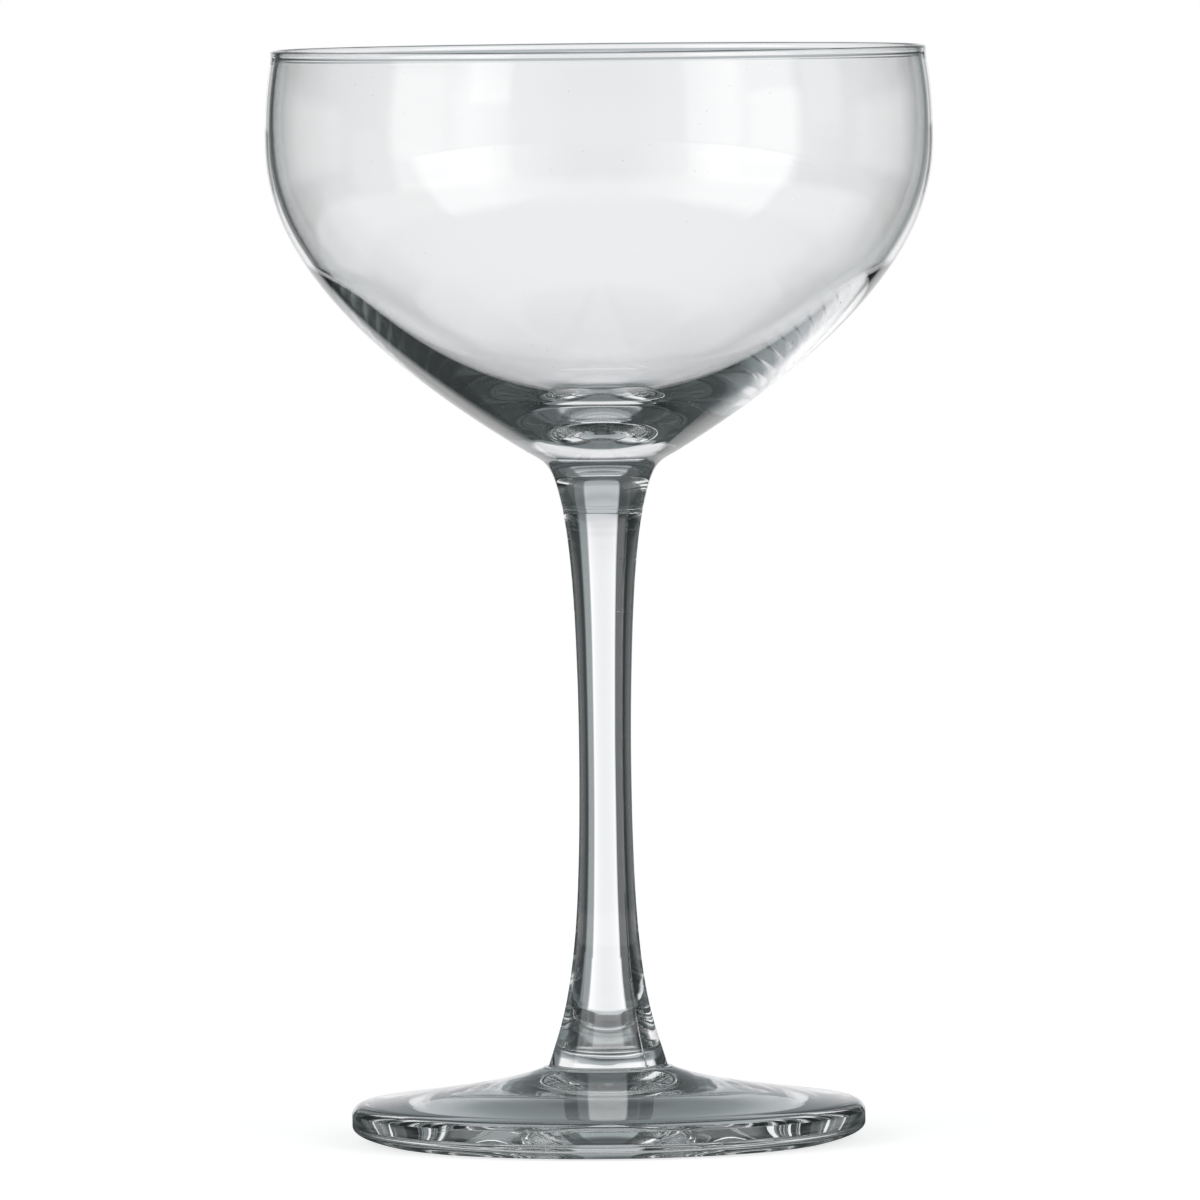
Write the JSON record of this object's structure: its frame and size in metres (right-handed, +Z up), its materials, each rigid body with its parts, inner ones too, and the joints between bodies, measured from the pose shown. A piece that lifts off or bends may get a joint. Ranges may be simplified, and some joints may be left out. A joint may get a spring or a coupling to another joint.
{
  "type": "coupe glass",
  "caption": "Stemmed drinking glass with a wide shallow bowl, a slender waisted stem and a round foot.",
  "frame": {"origin": "middle of the foot's bearing ring, on the table", "axes": "+Z up along the glass's axis, from the foot to the rim"},
  "size_m": [0.0918, 0.0918, 0.1505],
  "materials": {
    "blown_glass": "clear, fire-polished",
    "pressed_glass": "clear, pressed, faintly wavy"
  },
  "bodies": {
    "root": {"foot": "pressed_glass", "stem": "pressed_glass", "bowl": "blown_glass"}
  },
  "joints": []
}
